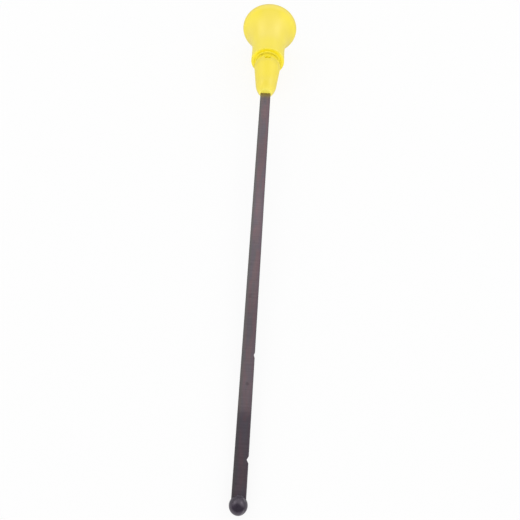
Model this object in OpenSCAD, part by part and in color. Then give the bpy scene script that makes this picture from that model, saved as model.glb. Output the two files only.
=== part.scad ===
// Engine oil dipstick: a moulded knob with a tapered plug, a notched steel
// strip and a ball on the strip's end. It lies on the knob and the ball.

/* [Strip] */
// Width of the strip
blade_w = 6; // [5:0.1:6.4]
// Thickness of the strip
blade_t = 0.9; // [0.6:0.05:1.5]
// Length of strip from the ball's centre to the end of the plug
blade_free = 222.7; // [120:0.1:600]
// Length of the strip's root inside the plug
root_len = 19; // [12:0.5:24]
// Diameter of the hole in the root, which the moulding fills
root_hole_d = 2.6; // [1.6:0.1:3.4]
// Width of the narrow tang that goes into the ball
tang_w = 3.2; // [2:0.1:4]
// How far the tang goes past the ball's centre
tang_past = 1.6; // [0.5:0.1:2.2]

/* [Level notches] */
// Height of the low level notch above the ball's centre
low_z = 17.1; // [12:0.1:30]
// Length of the low level notch along the edge
low_len = 2.9; // [1.5:0.1:5]
// Depth of the low level notch
low_depth = 0.75; // [0.5:0.05:1.5]
// Height of the full level notch above the ball's centre
full_z = 61.5; // [45:0.1:90]
// Length of the full level notch along the edge
full_len = 2.8; // [1.5:0.1:5]
// Depth of the full level notch
full_depth = 0.45; // [0.4:0.05:1.2]
// Radius at the root of both notches
notch_root_r = 0.3; // [0.1:0.05:0.35]

/* [Ball] */
// Diameter of the ball
ball_d = 7.5; // [7:0.1:9]
// Least wall of the ball beside the strip where it seats
seat_wall = 0.15; // [0.05:0.05:0.3]

/* [Plug] */
// Radius of the plug's end, where the strip comes out
end_r = 3.6; // [3.5:0.05:4.4]
// Rounding of the plug's end
end_round = 0.5; // [0.2:0.1:0.6]
// Length of the rounded nose
nose_len = 6.5; // [4:0.5:9]
// Radius at the top of the nose
nose_r = 6.25; // [5.6:0.05:6.8]
// Length of the slow taper from the nose to the land
taper_len = 13.4; // [8:0.1:24]
// Radius of the land, the straight band that seats in the guide tube
land_r = 7.75; // [7.2:0.05:8.2]
// Length of the land
land_len = 3; // [2:0.5:5]
// Length from the land to the lip
waist_len = 4; // [3.6:0.1:7]
// Radius of the plug where it meets the lip
base_r = 6.2; // [5.6:0.1:7]
// Width of the pocket in the front of the plug
pocket_w = 3.7; // [3:0.1:5]
// Height of the pocket
pocket_h = 1.8; // [1.4:0.1:2.4]
// Depth of the pocket below the land's surface
pocket_depth = 1.4; // [0.8:0.1:2]
// Distance from the lip down to the pocket's centre
pocket_drop = 4.4; // [3.6:0.1:5]

/* [Lip and knob] */
// Radius of the lip that covers the mouth of the guide tube
lip_r = 10.25; // [10:0.05:13]
// Rounding of the lip's edge
lip_round = 0.6; // [0.2:0.1:1]
// Width of the flat ring under the lip, which seats on the guide tube
lip_seat_w = 1; // [0.5:0.1:1.5]
// Depth of the hollow inside that ring
lip_dish = 0.7; // [0.2:0.1:1.2]
// Height of the straight band above the lip's edge
lip_band = 0.6; // [0.2:0.1:3]
// How far the neck draws in from the lip at its narrowest
neck_in = 0.12; // [0.05:0.01:1.5]
// Height of the narrowest part of the neck above the lip
neck_up = 10; // [6:0.5:14]
// Radius of the knob
knob_r = 17.2; // [14:0.1:22]
// Height of the knob's widest circle above the lip
knob_up = 30.4; // [26:0.1:40]
// Radius of the knob's edge, seen from the side
edge_r = 4; // [3:0.1:6]
// Height of the knob above its widest circle
dome_h = 9.5; // [8:0.1:14]

/* [Fits] */
// Clearance on each side of the strip in its socket and in the ball
fit_gap = 0.03; // [0.02:0.01:0.1]

/* [Hidden] */
arc_steps = 16;
past = 0.5;                    // how far a cut runs past a surface
$fn = 96;

ball_r = ball_d / 2;
// The strip's shoulders sit where the ball is just wider than the strip
seat_z = sqrt(ball_r * ball_r - pow(blade_w / 2 + fit_gap + seat_wall, 2));

// Heights along the stick, measured from the ball's centre
plug_z = blade_free;
nose_z = plug_z + nose_len;
land_z = nose_z + taper_len;
waist_z = land_z + land_len;
lip_z = waist_z + waist_len;
neck_z = lip_z + neck_up;
neck_r = lip_r - neck_in;
knob_z = lip_z + knob_up;
root_z = plug_z + root_len;
root_hole_z = plug_z + root_len * 0.6;

// A rise over a length, as an arc that is upright at one end
function sag_r(len, rise) = (len * len + rise * rise) / (2 * rise);

// The large arc that caps the knob and runs smoothly into its edge
dome_r = (pow(knob_r - edge_r, 2) + dome_h * dome_h - edge_r * edge_r) / (2 * (dome_h - edge_r));
dome_z = knob_z + dome_h - dome_r;

// The hollow that sweeps from the neck out into the knob's edge
flare_in = neck_r - (knob_r - edge_r);
flare_h = knob_z - neck_z;
flare_r = (flare_in * flare_in + flare_h * flare_h - edge_r * edge_r) / (2 * (edge_r - flare_in));

// Points along an arc from angle a0 to a1, without its first point
function arc(c, r, a0, a1) =
    [for (i = [1:arc_steps]) let (a = a0 + (a1 - a0) * i / arc_steps) c + r * [cos(a), sin(a)]];

// The nose's curve runs from the plug's end and smoothly into the taper
taper_a = atan2(land_r - nose_r, taper_len);
nose_chord = [nose_r - end_r, nose_len];
nose_arc_r = norm(nose_chord) / (2 * sin(atan2(nose_chord.x, nose_chord.y) - taper_a));
nose_c = [nose_r - nose_arc_r * cos(taper_a), nose_z + nose_arc_r * sin(taper_a)];
// The rounding of the plug's end, set inside that curve
end_off = plug_z + end_round - nose_c.y;
end_c = [nose_c.x + sqrt(pow(nose_arc_r - end_round, 2) - end_off * end_off), plug_z + end_round];
end_a = atan2(end_off, end_c.x - nose_c.x);

// Arc from the land in to the base of the plug, inside the hollow lip
waist_h = waist_len + lip_dish;
waist_r = sag_r(waist_h, land_r - base_r);
// Arc from the lip up to the neck
band_h = lip_round + lip_band;
skirt_h = neck_up - band_h;
skirt_r = sag_r(skirt_h, neck_in);
// Angles at which the knob's edge meets the flare and the dome
flare_a = atan2(-flare_h, flare_in + flare_r);
dome_a = atan2(knob_z - dome_z, knob_r - edge_r);

// Half outline of the handle as [radius, height]
handle_outline = concat(
    [[0, plug_z], [end_c.x, plug_z]],
    arc(end_c, end_round, -90, end_a),
    arc(nose_c, nose_arc_r, end_a, -taper_a),
    [[land_r, land_z], [land_r, waist_z]],
    arc([land_r - waist_r, waist_z], waist_r, 0, asin(waist_h / waist_r)),
    [[lip_r - lip_round - lip_seat_w, lip_z], [lip_r - lip_round, lip_z]],
    arc([lip_r - lip_round, lip_z + lip_round], lip_round, -90, 0),
    [[lip_r, lip_z + band_h]],
    arc([neck_r + skirt_r, neck_z], skirt_r, 180 + asin(skirt_h / skirt_r), 180),
    arc([neck_r + flare_r, neck_z], flare_r, 180, 180 + flare_a),
    arc([knob_r - edge_r, knob_z], edge_r, flare_a, dome_a),
    arc([0, dome_z], dome_r, dome_a, 90)
);

// The stick lies with its lowest circle of knob and its ball on the ground
lay_tilt = atan2(knob_r - edge_r, knob_z)
    + asin((edge_r - ball_r) / norm([knob_r - edge_r, knob_z]));
head_y = dome_z * cos(lay_tilt) + dome_r;

module lay_down() {
    translate([0, (ball_r - head_y) / 2, ball_r])
        rotate([lay_tilt - 90, 0, 0])
            children();
}

// Cross-section of a strip with rounded edges, grown by a gap all round
module strip_section(w, gap = 0) {
    t = blade_t + 2 * gap;
    straight = w - blade_t;
    square([straight, t], center = true);
    for (side = [-1, 1]) translate([side * straight / 2, 0]) circle(d = t);
}

// Strip from one height to another
module strip(w, z0, z1, gap = 0) {
    translate([0, 0, z0]) linear_extrude(z1 - z0) strip_section(w, gap);
}

// A V cut with a round root in the strip's right-hand edge
module notch(z, len, depth) {
    root_x = blade_w / 2 - depth + notch_root_r;
    reach = [blade_w / 2 - root_x, len / 2];
    touch_a = atan2(reach.y, reach.x) + acos(notch_root_r / norm(reach));
    outline = concat(
        [[blade_w / 2 + past, len / 2], [blade_w / 2, len / 2]],
        [[root_x, 0] + notch_root_r * [cos(touch_a), sin(touch_a)]],
        arc([root_x, 0], notch_root_r, touch_a, 360 - touch_a),
        [[blade_w / 2, -len / 2], [blade_w / 2 + past, -len / 2]]
    );
    translate([0, 0, z]) rotate([90, 0, 0])
        linear_extrude(blade_t + 2 * past, center = true) polygon(outline);
}

// Round peg or hole across the strip's root
module root_pin(d) {
    translate([0, 0, root_hole_z]) rotate([90, 0, 0])
        cylinder(d = d, h = blade_t + 2 * past, center = true);
}

// The shape that the root takes up in the handle, with the peg left standing
module root_socket() {
    difference() {
        strip(blade_w, plug_z - past, root_z, fit_gap);
        root_pin(root_hole_d - 2 * fit_gap);
    }
}

// Rounded pocket in the front of the plug
module pocket() {
    floor_r = land_r - pocket_depth;
    translate([0, -floor_r, lip_z - pocket_drop]) rotate([90, 0, 0])
        linear_extrude(pocket_depth + past) {
            square([pocket_w - pocket_h, pocket_h], center = true);
            for (side = [-1, 1]) translate([side * (pocket_w - pocket_h) / 2, 0]) circle(d = pocket_h);
        }
}

// Knob, neck, lip and plug, moulded in one round the strip's root
module handle() {
    color([0.97, 0.88, 0.25]) lay_down() difference() {
        rotate_extrude() polygon(handle_outline);
        root_socket();
        pocket();
    }
}

// Strip with its two level notches, its root hole and its tang
module blade() {
    color([0.42, 0.37, 0.39]) lay_down() difference() {
        union() {
            strip(blade_w, seat_z, root_z);
            strip(tang_w, -tang_past, seat_z + past);
        }
        notch(low_z, low_len, low_depth);
        notch(full_z, full_len, full_depth);
        root_pin(root_hole_d);
    }
}

// Ball that guides the strip down the tube, slotted for strip and tang
module ball_tip() {
    color([0.2, 0.19, 0.22]) lay_down() difference() {
        sphere(r = ball_r);
        strip(blade_w, seat_z, ball_r + past, fit_gap);
        strip(tang_w, -tang_past, seat_z + past, fit_gap);
    }
}

handle();
blade();
ball_tip();
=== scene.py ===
import math
from collections import namedtuple

import bpy
from mathutils import Matrix, Vector

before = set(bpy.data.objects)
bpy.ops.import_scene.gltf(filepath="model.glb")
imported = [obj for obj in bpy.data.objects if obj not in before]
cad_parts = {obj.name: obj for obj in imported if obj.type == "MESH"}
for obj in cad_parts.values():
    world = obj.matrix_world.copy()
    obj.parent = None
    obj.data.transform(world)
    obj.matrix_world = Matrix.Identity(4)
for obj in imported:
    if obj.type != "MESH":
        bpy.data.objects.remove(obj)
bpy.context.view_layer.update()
handle, blade, ball_tip = (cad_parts[n] for n in ("handle", "blade", "ball_tip"))

# The stick as it lies in the frame, in metres
BALL_R = 0.00375
BALL = Vector((0, -0.142721, BALL_R))       # the ball's centre
EXIT = Vector((0, 0.079722, 0.014435))      # where the strip leaves the plug
AXIS = (EXIT - BALL).normalized()           # along the stick, from ball to knob
TILT = math.asin(AXIS.z)

# Camera
LENS_MM = 36.0
SENSOR_MM = 36.0
CAM_PLACE = Vector((0.002716, -0.164647, 0.229712))
CAM_TARGET = Vector((0.002716, -0.032016, 0.008))
CAM_ROLL = math.radians(3.4653)

# Floor and lamps, in metres and watts
FLOOR_HALF = 3.0
LAMP_SIZE = 0.50
LAMPS = {"key": ((0.75, 0.38, 0.80), 0.80), "fill": ((-0.78, 0.38, 0.75), 0.73)}


def rgba(r, g, b):
    return (r, g, b, 1.0)


# A place on the stick in millimetres from the ball's centre: the vector, and its three
# parts, which are across the stick, along it, and out of its face. The names in capitals
# above each of the stick's materials are in these millimetres, and a pair is the two
# readings between which a tint comes in.
Place = namedtuple("Place", "vector across along out")
MM_PER_M = 1000


class Nodes:
    """Builds a node tree with short calls."""

    def __init__(self, tree):
        self.tree = tree
        tree.nodes.clear()

    def add(self, kind, inputs=None, **settings):
        node = self.tree.nodes.new(kind)
        for name, value in settings.items():
            setattr(node, name, value)
        for name, value in (inputs or {}).items():
            self.put(node.inputs[name], value)
        return node

    def put(self, socket, value):
        if isinstance(value, bpy.types.NodeSocket):
            self.tree.links.new(value, socket)
        elif isinstance(value, bpy.types.Node):
            self.tree.links.new(next(s for s in value.outputs if s.enabled), socket)
        else:
            socket.default_value = value

    def math(self, op, a, b=0.0, c=0.0):
        return self.add("ShaderNodeMath", {0: a, 1: b, 2: c}, operation=op).outputs[0]

    def times(self, a, b):
        return self.math("MULTIPLY", a, b)

    def measure(self, op, a, b=(0, 0, 0)):
        """One number from two vectors, such as their distance."""
        return self.add("ShaderNodeVectorMath", {0: a, 1: b}, operation=op).outputs["Value"]

    def ramp(self, value, lo, hi, out_lo=0.0, out_hi=1.0):
        """A smooth step from out_lo at lo to out_hi at hi."""
        return self.add("ShaderNodeMapRange", {"Value": value, "From Min": lo, "From Max": hi,
                                               "To Min": out_lo, "To Max": out_hi},
                        interpolation_type="SMOOTHSTEP").outputs["Result"]

    def mix(self, fac, a, b, blend="MIX"):
        return self.add("ShaderNodeMix", {"Factor": fac, 6: a, 7: b},
                        data_type="RGBA", blend_type=blend).outputs[2]

    def noise(self, where, scale=1.0, detail=3.0, rough=0.5, warp=0.0):
        return self.add("ShaderNodeTexNoise", {"Vector": where, "Scale": scale, "Detail": detail,
                                               "Roughness": rough, "Distortion": warp}).outputs["Fac"]

    def stretched(self, vector, scale):
        return self.add("ShaderNodeMapping", {"Vector": vector, "Scale": scale}).outputs[0]

    def stick_place(self):
        at = self.add("ShaderNodeTexCoord").outputs["Object"]
        off = self.add("ShaderNodeVectorMath", {0: at, 1: BALL}, operation="SUBTRACT").outputs[0]
        turned = self.add("ShaderNodeMapping", {"Vector": off, "Rotation": (-TILT, 0, 0),
                                                "Scale": (MM_PER_M, MM_PER_M, MM_PER_M)}).outputs[0]
        return Place(turned, *self.add("ShaderNodeSeparateXYZ", {0: turned}).outputs)

    def worn_edge(self, lo, hi, share):
        """How far an outer edge is worn, up to a share."""
        sharp = self.add("ShaderNodeNewGeometry").outputs["Pointiness"]
        return self.ramp(sharp, lo, hi, 0.0, share)

    def surface(self, height, strength, distance, inputs):
        """The shader that ends a material, with a bump from a height."""
        bump = self.add("ShaderNodeBump", {"Height": height, "Strength": strength, "Distance": distance})
        shader = self.add("ShaderNodeBsdfPrincipled", {"Normal": bump, **inputs})
        self.add("ShaderNodeOutputMaterial", {"Surface": shader})


def material(name):
    made = bpy.data.materials.new(name)
    made.use_nodes = True
    return made, Nodes(made.node_tree)


def dress(obj, made):
    obj.data.materials.clear()
    obj.data.materials.append(made)


# Yellow moulded plastic
# The places below are where light and shade are painted into the yellow: bounce light, shade in hollows
# and sheen.
PLUG_UP, PLUG_DOWN = (226.0, 234.0), (247.0, 240.0)
NECK_UP, NECK_DOWN = (248.5, 250.5), (271.0, 261.0)
KNOB_UP = (257.0, 264.0)
KNOB_MIDDLE = (9.0, 3.0)            # to either side of the stick's middle
LIP_UP = (240.0, 242.0)
LIP_SIDES = (4.0, 9.0)
WAIST_UP, WAIST_DOWN = (245.4, 246.6), (250.5, 250.0)
WAIST_DEEP = (248.6, 249.8)
WAIST_RADIUS = (8.0, 7.8)
POCKET = (0.0, 245.2, 6.4)
POCKET_REACH = (2.6, 1.9)
POCKET_DEPTH = (7.5, 7.2)           # out from the stick's middle
PLUG_END_DOWN = (226.0, 225.0)


def painted_light_by_part(n, at, tone):
    """Painted light and shade, partly the plastic's own colour: the plug painted a slightly deeper yellow,
    the neck a brighter one, and the middle of the knob a paler one, a painted sheen.
    """
    # painted shade on the plug, painted light on the neck and a painted sheen on the knob's middle
    plug = n.times(n.ramp(at.along, *PLUG_DOWN, 0.0, 0.7), n.ramp(at.along, *PLUG_UP))
    tone = n.mix(plug, tone, rgba(0.935, 0.755, 0.016))
    neck = n.times(n.ramp(at.along, *NECK_DOWN, 0.0, 0.85), n.ramp(at.along, *NECK_UP))
    tone = n.mix(neck, tone, rgba(0.946, 0.781, 0.044))
    middle = n.times(n.ramp(n.math("ABSOLUTE", at.across), *KNOB_MIDDLE), n.ramp(at.along, *KNOB_UP))
    return n.mix(n.times(middle, 0.7), tone, rgba(0.8965, 0.7348, 0.1188))


def painted_bounce_and_shade(n, at, tone):
    """Painted bounce light and shade: the lip's hollow painted a darker, deeper yellow as painted shade,
    and the waist, the pocket and the plug's end painted lighter, as light off other yellow faces would
    tint them.
    """
    normal = n.add("ShaderNodeNewGeometry").outputs["Normal"]
    to_ball = n.ramp(n.measure("DOT_PRODUCT", normal, -AXIS), 0.35, 0.95)
    # painted shade: the lip's hollow, facing the ball, darker in the middle and lighter to the sides
    sides = n.ramp(n.math("ABSOLUTE", at.across), *LIP_SIDES)
    hollow = n.mix(sides, rgba(0.8085, 0.66, 0.0011), rgba(0.935, 0.792, 0.022))
    tone = n.mix(n.times(to_ball, n.ramp(at.along, *LIP_UP)), tone, hollow)

    # painted light on the waist, which draws in above the land and ends inside the lip, where it takes on
    # the most
    radius = n.math("SQRT", n.math("MULTIPLY_ADD", at.across, at.across, n.times(at.out, at.out)))
    within = n.times(n.ramp(at.along, *WAIST_DOWN), n.ramp(radius, *WAIST_RADIUS))
    waist = n.times(n.ramp(at.along, *WAIST_UP), within)
    lit = n.mix(n.ramp(at.along, *WAIST_DEEP), rgba(0.957, 0.8085, 0.0275), rgba(0.99, 0.90, 0.11))
    tone = n.mix(n.times(waist, n.ramp(at.along, *WAIST_DEEP, 0.8, 1.0)), tone, lit)

    # painted light: the pocket painted a lighter yellow
    near = n.ramp(n.measure("DISTANCE", at.vector, POCKET), *POCKET_REACH)
    tone = n.mix(n.times(near, n.ramp(at.out, *POCKET_DEPTH)), tone, rgba(0.98, 0.87, 0.045))
    # painted light: the plug's end, facing the ball, painted a lighter yellow
    end = n.times(to_ball, n.ramp(at.along, *PLUG_END_DOWN))
    return n.mix(end, tone, rgba(0.935, 0.8195, 0.11))


def yellow_plastic():
    made, n = material("yellow_plastic")
    at = n.stick_place()
    cloud = n.noise(at.vector, scale=0.09, detail=2.0)
    fine = n.noise(at.vector, scale=1.1, detail=4.0, rough=0.6)
    skin = n.noise(at.vector, scale=5.0, detail=2.0)
    edge = n.worn_edge(0.56, 0.68, 0.35)

    tone = n.mix(n.ramp(cloud, 0.35, 0.65), rgba(0.870, 0.703, 0.034), rgba(0.876, 0.714, 0.064))
    tone = n.mix(n.ramp(fine, 0.45, 0.75, 0.0, 0.25), tone, rgba(0.8525, 0.682, 0.0286))
    tone = painted_light_by_part(n, at, tone)
    tone = n.mix(edge, tone, rgba(0.924, 0.792, 0.154))
    tone = painted_bounce_and_shade(n, at, tone)

    gloss = n.math("ADD", n.ramp(fine, 0.3, 0.7, 0.36, 0.45), n.times(edge, 0.2))
    height = n.math("ADD", n.times(cloud, 2.0), n.times(skin, 0.25))
    n.surface(height, 0.25, 0.00006, {"Base Color": tone, "Roughness": gloss, "IOR": 1.55,
                                      "Specular IOR Level": 0.8})
    return made


# Oxide-tinted steel strip
STRIP_HALF_W = 3.0
RIM = (STRIP_HALF_W - 0.38, STRIP_HALF_W - 0.05)
LEFT_SIDE, RIGHT_SIDE = (-1.2, -2.5), (1.3, 2.6)
STAIN = (0.45, 48.3, 0.45)
STAIN_REACH = (0.3, 1.1)            # the stain goes out between these
DARK_LENGTH = 36.4                   # the strip is darker and glossier up to here
DARK_FADE = (-2.8, 2.8)
PLUG_BOUNCE = (218.0, 222.5)
# Stretches painted paler or darker for the uneven sheen along the strip, and one painted paler by the ball
# against its shade: centre, reach, and share of the tone
PAINTED_SHEEN = ((139, 26, 0.15), (178, 20, -0.10), (80, 26, -0.15), (48, 9, 0.07), (4, 8, 0.12))


def oxide_tone(n, at, grain, blot):
    """Purple-brown and grey patches, drawn out along the strip, with faint bands across it."""
    streak = n.noise(n.stretched(at.vector, (1.3, 0.012, 1.0)), rough=0.55)
    patch = n.noise(n.stretched(at.vector, (0.30, 0.075, 0.3)), warp=0.4)
    band = n.noise(n.stretched(at.vector, (0.05, 1.1, 0.05)), rough=0.6)
    tone = n.mix(n.ramp(patch, 0.36, 0.64), rgba(0.154, 0.1276, 0.1496), rgba(0.1958, 0.1287, 0.143))
    tone = n.mix(n.ramp(streak, 0.42, 0.66, 0.0, 0.35), tone, rgba(0.1474, 0.1386, 0.143))
    tone = n.mix(n.ramp(grain, 0.50, 0.75, 0.0, 0.30), tone, rgba(0.099, 0.0748, 0.0858))
    tone = n.mix(n.ramp(blot, 0.58, 0.74, 0.0, 0.35), tone, rgba(0.088, 0.0638, 0.0726))
    bands = n.mix(n.ramp(band, 0.35, 0.65), rgba(0.93, 0.93, 0.93), rgba(1.06, 1.06, 1.06))
    return n.mix(1.0, tone, bands, "MULTIPLY")


def sheen_and_stain_tone(n, at, tone):
    """Painted sheen in stretches along the strip, a greyer left and a more purple right side, and one
    stain between the notches.
    """
    sheen = 1.0
    for centre, reach, share in PAINTED_SHEEN:
        off = n.math("ABSOLUTE", n.math("SUBTRACT", at.along, centre))
        sheen = n.math("MULTIPLY_ADD", n.ramp(off, reach, 0.0), share, sheen)
    tone = n.mix(1.0, tone, n.add("ShaderNodeCombineXYZ", {0: sheen, 1: sheen, 2: sheen}), "MULTIPLY")
    tone = n.mix(n.ramp(at.across, *LEFT_SIDE, 0.0, 0.7), tone, rgba(0.1364, 0.1342, 0.1287))
    tone = n.mix(n.ramp(at.across, *RIGHT_SIDE, 0.0, 0.5), tone, rgba(0.1474, 0.1012, 0.1276))
    stain = n.ramp(n.measure("DISTANCE", at.vector, STAIN), *STAIN_REACH, 0.5, 0.0)
    return n.mix(stain, tone, rgba(0.0605, 0.0462, 0.0506))


def oxide_steel():
    made, n = material("oxide_steel")
    at = n.stick_place()
    grain = n.noise(n.stretched(at.vector, (7.0, 0.05, 3.0)), detail=5.0, rough=0.65)
    blot = n.noise(n.stretched(at.vector, (0.6, 0.35, 0.6)), detail=4.0, rough=0.6)
    tone = sheen_and_stain_tone(n, at, oxide_tone(n, at, grain, blot))

    # the stretch above the ball is darker and glossier, up to a line that runs unevenly
    dark_line = n.math("ADD", DARK_LENGTH, n.times(n.math("SUBTRACT", blot, 0.5), 2.0))
    darker = n.ramp(n.math("SUBTRACT", dark_line, at.along), *DARK_FADE)
    tone = n.mix(darker, tone, n.mix(1.0, tone, rgba(0.66, 0.66, 0.71), "MULTIPLY"))
    # painted yellow bounce light where the strip comes out of the plug
    tone = n.mix(n.ramp(at.along, *PLUG_BOUNCE, 0.0, 0.6), tone, rgba(0.374, 0.297, 0.055))
    # its rounded edges are dull and dark
    rim = n.ramp(n.math("ABSOLUTE", at.across), *RIM)
    tone = n.mix(rim, tone, rgba(0.0528, 0.0462, 0.0506))

    gloss = n.math("ADD", n.ramp(grain, 0.3, 0.7, 0.40, 0.52), n.times(darker, -0.10))
    gloss = n.math("MAXIMUM", gloss, n.times(rim, 0.8))
    height = n.math("ADD", grain, n.times(blot, 0.5))
    n.surface(height, 0.35, 0.00004, {"Base Color": tone, "Roughness": gloss,
                                      "Metallic": n.ramp(rim, 0.0, 1.0, 0.6, 0.0),
                                      "Specular IOR Level": n.ramp(rim, 0.0, 1.0, 0.5, 0.1)})
    return made


# Dark glossy ball
SLOT_HIGHLIGHT = (2.7, 3.5)             # a painted highlight: the ball is painted paler round the slot, where the strip goes in


def dark_ball():
    made, n = material("dark_ball")
    at = n.stick_place()
    cloud = n.noise(at.vector, scale=0.45)
    fine = n.noise(at.vector, scale=3.2, detail=4.0, rough=0.6)
    tone = n.mix(n.ramp(cloud, 0.35, 0.65), rgba(0.0242, 0.0176, 0.0308), rgba(0.033, 0.0231, 0.0407))
    tone = n.mix(n.worn_edge(0.56, 0.66, 0.5), tone, rgba(0.154, 0.1485, 0.1595))
    # painted highlight round the slot
    tone = n.mix(n.ramp(at.along, *SLOT_HIGHLIGHT, 0.0, 0.5), tone, rgba(0.19, 0.18, 0.20))
    gloss = n.ramp(fine, 0.3, 0.75, 0.22, 0.31)
    height = n.math("ADD", cloud, n.times(fine, 0.3))
    n.surface(height, 0.3, 0.00005, {"Base Color": tone, "Roughness": gloss, "IOR": 1.6,
                                     "Specular IOR Level": 0.68, "Specular Tint": rgba(1.0, 0.91, 1.0)})
    return made


# White floor
BACKDROP = (0.3, 1.2)               # metres from the middle, over which it turns into the backdrop


def white_floor():
    """White to the camera, with faint shadows near the stick, pale in mirrors, and matt to other light."""
    made, n = material("white_floor")
    path = n.add("ShaderNodeLightPath").outputs
    seen = n.math("MAXIMUM", path["Is Camera Ray"],
                  n.math("MAXIMUM", path["Is Glossy Ray"], path["Is Transmission Ray"]))
    matt = n.add("ShaderNodeBsdfDiffuse", {"Color": rgba(0.95, 0.95, 0.95)})
    glow = n.add("ShaderNodeEmission", {"Color": rgba(1, 1, 1),
                                        "Strength": n.ramp(path["Is Glossy Ray"], 0.0, 1.0, 1.0, 0.65)})
    away = n.measure("LENGTH", n.add("ShaderNodeTexCoord").outputs["Object"])
    both = n.add("ShaderNodeMixShader", {"Fac": n.times(seen, n.ramp(away, *BACKDROP, 0.87, 1.0)),
                                         1: matt, 2: glow})
    n.add("ShaderNodeOutputMaterial", {"Surface": both})
    return made


def light_world():
    """One level for matt faces, another for what shiny faces mirror, and plain white behind."""
    world = bpy.data.worlds.new("world")
    bpy.context.scene.world = world
    world.use_nodes = True
    n = Nodes(world.node_tree)
    path = n.add("ShaderNodeLightPath").outputs
    towards = n.add("ShaderNodeTexCoord").outputs["Generated"]
    side, back, height = n.add("ShaderNodeSeparateXYZ", {0: towards}).outputs
    # a dome of light, strongest from in front and from low down
    dome = n.times(n.ramp(back, -0.2, -0.9, 0.78, 1.72), n.ramp(height, 0.0, 0.6, 1.36, 0.90))
    # pale walls behind and at the sides, and a dark room overhead and in front
    walls = n.math("MULTIPLY_ADD", n.math("ABSOLUTE", n.math("ADD", side, 0.15)), 0.6, back)
    mirrored = n.times(n.ramp(height, 0.05, 0.5, 0.5, 1.0), n.ramp(walls, 0.08, 0.62, 0.14, 1.15))
    level = n.mix(path["Is Glossy Ray"], dome, mirrored)
    seen = n.math("MAXIMUM", path["Is Camera Ray"], path["Is Transmission Ray"])
    light = n.add("ShaderNodeBackground", {"Color": n.mix(seen, level, rgba(1, 1, 1)), "Strength": 1.0})
    n.add("ShaderNodeOutputWorld", {"Surface": light})


def in_scene(name, data):
    """A new object with this data, in the scene."""
    made = bpy.data.objects.new(name, data)
    bpy.context.scene.collection.objects.link(made)
    return made


def place_camera():
    data = bpy.data.cameras.new("camera")
    data.lens = LENS_MM
    data.sensor_width = SENSOR_MM
    data.clip_start = 0.01
    camera = in_scene("camera", data)
    aim = (CAM_TARGET - CAM_PLACE).to_track_quat("-Z", "Y").to_matrix().to_4x4()
    camera.matrix_world = Matrix.Translation(CAM_PLACE) @ aim @ Matrix.Rotation(CAM_ROLL, 4, "Z")
    bpy.context.scene.camera = camera


def soft_box(name, place, power):
    """A square lamp that faces the middle of the floor."""
    data = bpy.data.lights.new(name, "AREA")
    data.shape = "RECTANGLE"
    data.size = LAMP_SIZE
    data.size_y = LAMP_SIZE
    data.energy = power
    lamp = in_scene(name, data)
    lamp.location = place
    lamp.rotation_euler = (-Vector(place)).to_track_quat("-Z", "Y").to_euler()


dress(handle, yellow_plastic())
dress(blade, oxide_steel())
dress(ball_tip, dark_ball())

corners = [(x * FLOOR_HALF, y * FLOOR_HALF, 0) for x, y in ((-1, -1), (1, -1), (1, 1), (-1, 1))]
floor_mesh = bpy.data.meshes.new("floor")
floor_mesh.from_pydata(corners, [], [(0, 1, 2, 3)])
floor = in_scene("floor", floor_mesh)
dress(floor, white_floor())

place_camera()
light_world()
for lamp_name, (lamp_place, lamp_power) in LAMPS.items():
    soft_box(lamp_name, lamp_place, lamp_power)

bpy.context.scene.view_settings.view_transform = "Standard"
